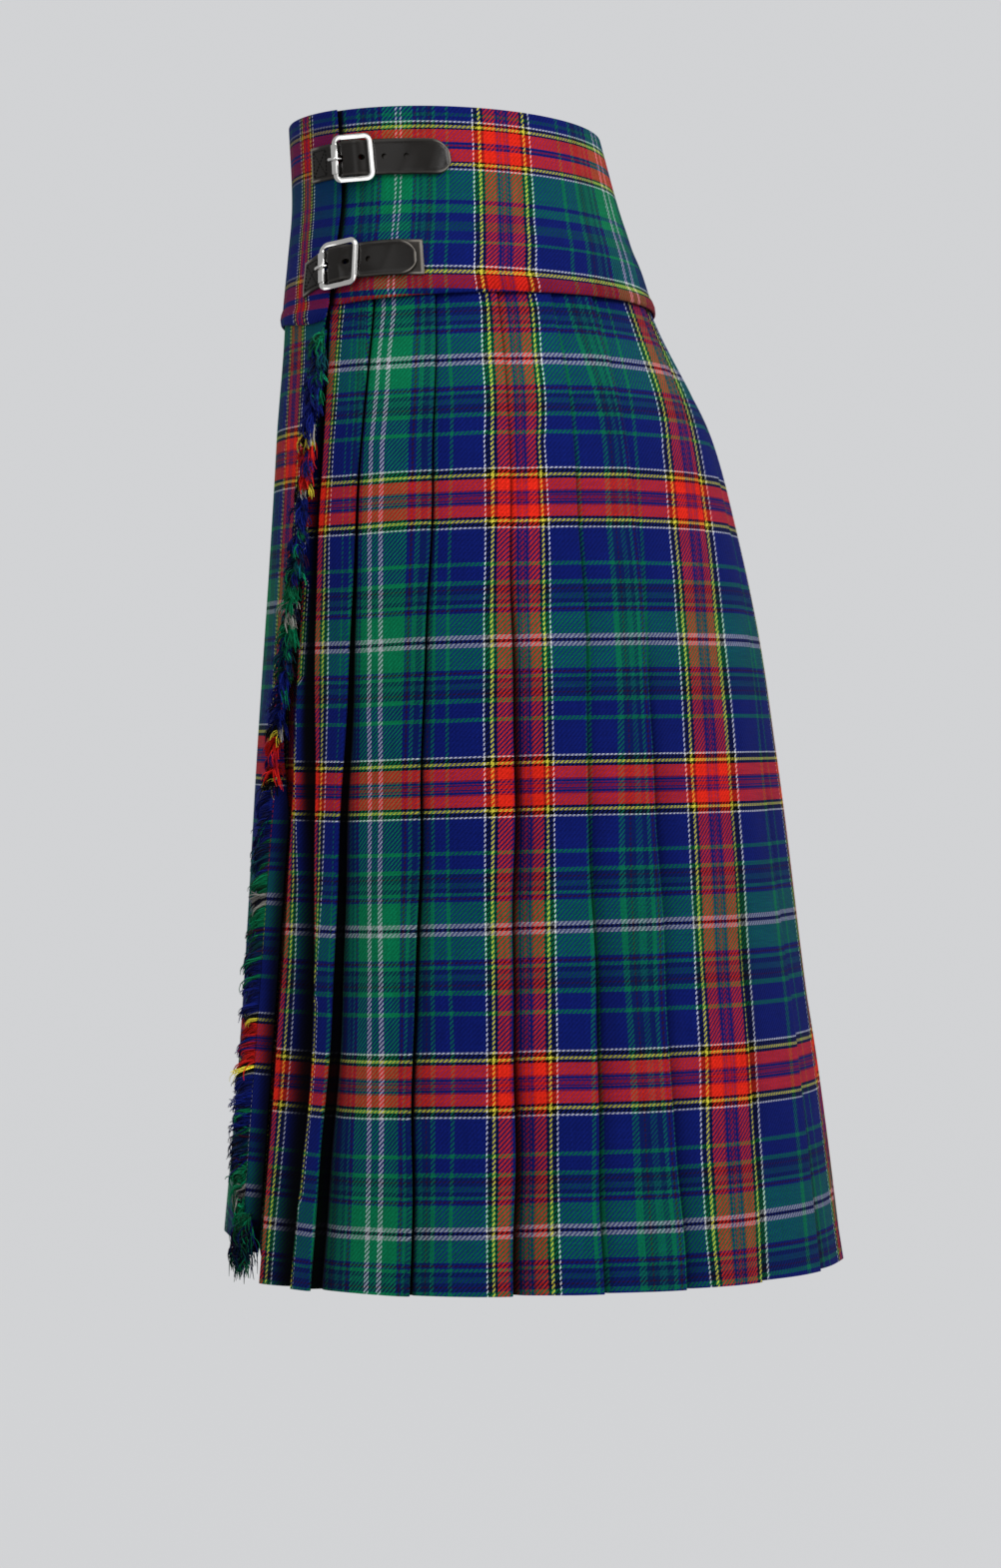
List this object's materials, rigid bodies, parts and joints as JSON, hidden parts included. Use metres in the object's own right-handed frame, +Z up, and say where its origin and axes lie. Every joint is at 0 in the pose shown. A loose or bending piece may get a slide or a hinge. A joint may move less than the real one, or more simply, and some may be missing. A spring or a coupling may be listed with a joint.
{
  "type": "scottish kilt",
  "caption": "Wrap-round knife-pleated tartan kilt in worn form: shaped yoke, fringed overlap edge, and leather straps fastened in metal buckles on the hip.",
  "frame": {"origin": "middle of the waist opening, level with the yoke's top edge, where the wearer's waist holds the kilt", "axes": "+Z up out of the waist, -Y towards the wearer's front, +X towards the wearer's left, the side that fastens"},
  "size_m": [0.4149, 0.3688, 0.6815],
  "materials": {
    "tartan_wool": "matte twill",
    "fringe_wool": "loose yarn",
    "black_leather": "satin, edges rounded",
    "polished_metal": "polished"
  },
  "bodies": {
    "root": {"over_apron": "tartan_wool", "under_apron": "tartan_wool", "pleats_left": "tartan_wool", "pleats_back": "tartan_wool", "pleats_right": "tartan_wool", "yoke_over": "tartan_wool", "yoke_back": "tartan_wool", "yoke_under": "tartan_wool", "fringe": "fringe_wool", "strap_upper": "black_leather", "strap_lower": "black_leather", "chape_upper": "black_leather", "chape_lower": "black_leather", "buckle_frame_upper": "polished_metal", "buckle_frame_lower": "polished_metal", "buckle_roller_upper": "polished_metal", "buckle_roller_lower": "polished_metal", "buckle_prong_upper": "polished_metal", "buckle_prong_lower": "polished_metal"}
  },
  "joints": []
}
